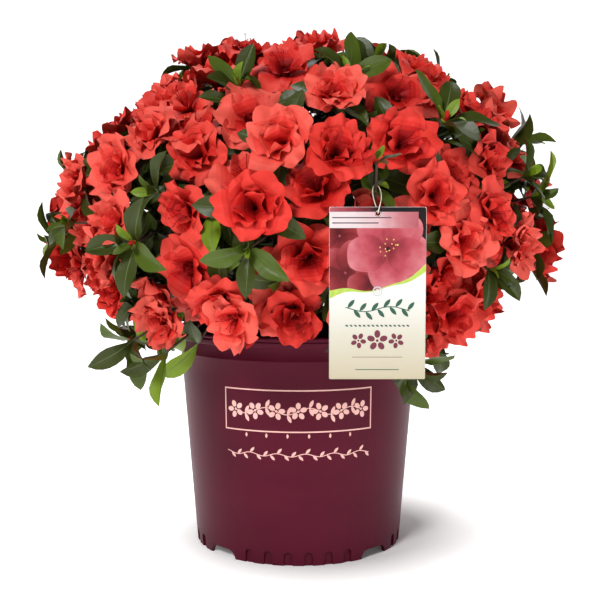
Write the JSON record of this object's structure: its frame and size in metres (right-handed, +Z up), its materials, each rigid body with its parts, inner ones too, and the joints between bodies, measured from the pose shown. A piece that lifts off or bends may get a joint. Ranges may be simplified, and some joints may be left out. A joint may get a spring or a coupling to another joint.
{
  "type": "potted azalea shrub",
  "caption": "Rounded flowering azalea shrub with coral red blooms and dark leaves, standing in a tapered burgundy nursery pot with a blank hang tag.",
  "frame": {"origin": "on the floor, on the pot's axis, at the bottom centre of the whole plant's box within a few millimetres", "axes": "+Z up, -Y towards the front, where the hang tag is, +X to the right as seen from the front"},
  "size_m": [0.607, 0.6039, 0.5809],
  "materials": {
    "petals": "satin",
    "leaves": "satin",
    "bark": "matte",
    "pot_plastic": "satin",
    "pot_print": "satin",
    "potting_mix": "matte",
    "tag_card": "satin",
    "loop_filament": "satin"
  },
  "bodies": {
    "root": {"bough_middle_1": "bark", "bough_middle_2": "bark", "bough_middle_3": "bark", "bough_middle_4": "bark", "bough_middle_5": "bark", "bough_middle_6": "bark", "bough_middle_7": "bark", "bough_middle_8": "bark", "bough_skirt_1": "bark", "bough_skirt_2": "bark", "bough_skirt_3": "bark", "bough_skirt_4": "bark", "bough_skirt_5": "bark", "bough_skirt_6": "bark", "bough_skirt_7": "bark", "bough_skirt_8": "bark", "bough_top_front": "bark", "bough_top_left": "bark", "bough_top_right": "bark", "bough_upper_1": "bark", "bough_upper_2": "bark", "bough_upper_3": "bark", "bough_upper_4": "bark", "bough_upper_5": "bark", "bough_upper_6": "bark", "crown_middle_1": "petals", "crown_middle_2": "petals", "crown_middle_3": "petals", "crown_middle_4": "petals", "crown_middle_5": "petals", "crown_middle_6": "petals", "crown_middle_7": "petals", "crown_middle_8": "petals", "crown_skirt_1": "petals", "crown_skirt_2": "petals", "crown_skirt_3": "petals", "crown_skirt_4": "petals", "crown_skirt_5": "petals", "crown_skirt_6": "petals", "crown_skirt_7": "petals", "crown_skirt_8": "petals", "crown_top_front": "petals", "crown_top_left": "petals", "crown_top_right": "petals", "crown_upper_1": "petals", "crown_upper_2": "petals", "crown_upper_3": "petals", "crown_upper_4": "petals", "crown_upper_5": "petals", "crown_upper_6": "petals", "hang_tag": "tag_card", "main_stem": "bark", "pot": "pot_plastic", "potting_mix": "potting_mix", "tag_loop": "loop_filament"}
  },
  "joints": []
}
